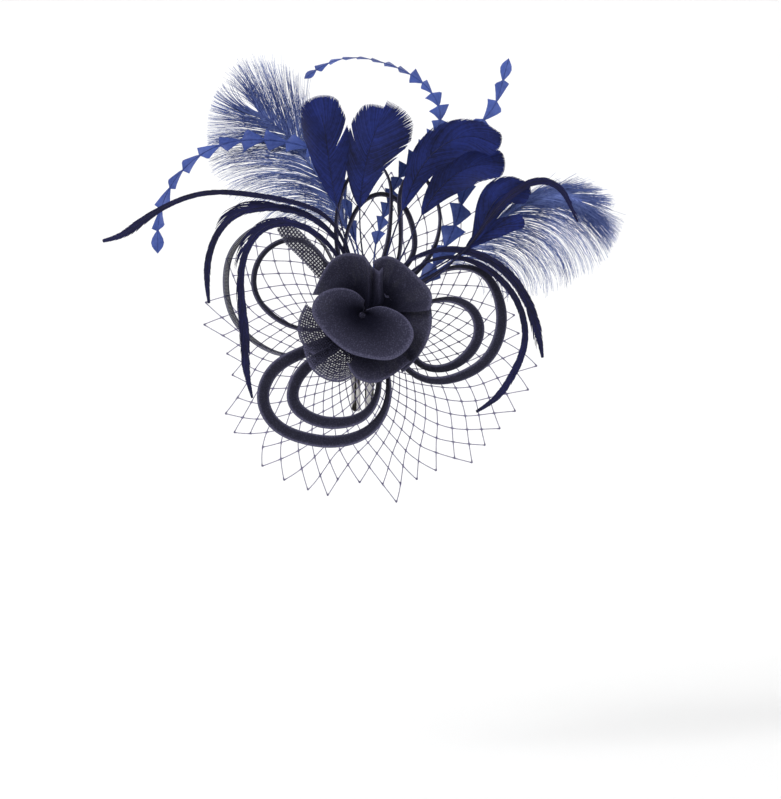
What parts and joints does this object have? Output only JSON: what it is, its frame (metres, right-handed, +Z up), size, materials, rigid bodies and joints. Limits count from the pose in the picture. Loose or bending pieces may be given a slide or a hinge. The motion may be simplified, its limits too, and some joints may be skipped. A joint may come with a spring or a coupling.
{
  "type": "fascinator headpiece",
  "caption": "Feathered fascinator with a sinamay flower, strip loops and a net veil on a sprung forked hair clip.",
  "frame": {"origin": "middle of the clip's grip, on the holding face of its fixed prongs", "axes": "+X towards the side that points to the wearer's face, +Z up, +Y into the hair; the flower faces -Y"},
  "size_m": [0.3748, 0.1043, 0.3281],
  "materials": {
    "sinamay": "open woven banana fibre, dyed dark grey navy, stiffened",
    "felt": "pressed felt, navy",
    "net": "thin diamond veiling net, grey navy",
    "binding": "gathered sinamay and thread, navy",
    "ostrich_plume": "soft mid blue barbs",
    "paddle_feather": "dyed navy goose feather, silky",
    "notched_feather": "dyed mid blue feather, cut into notches",
    "curled_feather": "dyed dark navy stripped feather",
    "clip_steel": "bright nickel plated spring steel"
  },
  "bodies": {
    "headpiece": {"base_disc": "sinamay", "centre_fold": "sinamay", "clip_front_jaw": "clip_steel", "clip_pin": "clip_steel", "curl_left_1": "curled_feather", "curl_left_2": "curled_feather", "curl_left_3": "curled_feather", "curl_right_1": "curled_feather", "curl_right_2": "curled_feather", "curl_right_small": "curled_feather", "felt_backing": "felt", "loop_left_inner": "sinamay", "loop_left_outer": "sinamay", "loop_low_inner": "sinamay", "loop_low_outer": "sinamay", "loop_right_inner": "sinamay", "loop_right_outer": "sinamay", "loop_top_left": "sinamay", "loop_top_middle": "sinamay", "loop_top_right": "sinamay", "notched_left": "notched_feather", "notched_middle": "notched_feather", "notched_right": "notched_feather", "ostrich_left": "ostrich_plume", "ostrich_right": "ostrich_plume", "paddle_1": "paddle_feather", "paddle_2": "paddle_feather", "paddle_3": "paddle_feather", "paddle_4": "paddle_feather", "paddle_5": "paddle_feather", "paddle_6": "paddle_feather", "petal_front": "sinamay", "petal_left": "sinamay", "petal_lower": "sinamay", "petal_lower_left": "sinamay", "petal_right": "sinamay", "petal_upper_left": "sinamay", "petal_upper_right": "sinamay", "stem_binding": "binding", "strip_tail": "sinamay", "veil_net": "net"},
    "clip_jaw": {"clip_back_jaw": "clip_steel", "clip_spring": "clip_steel"}
  },
  "joints": [
    {"name": "clip_hinge", "type": "hinge", "parent": "headpiece", "child": "clip_jaw", "pos_m": [0, 0.0024, 0.015], "axis": [1, 0, 0], "range_deg": [0, 22], "stiffness_Nm_per_rad": 0.06, "springref_deg": -34.38}
  ]
}
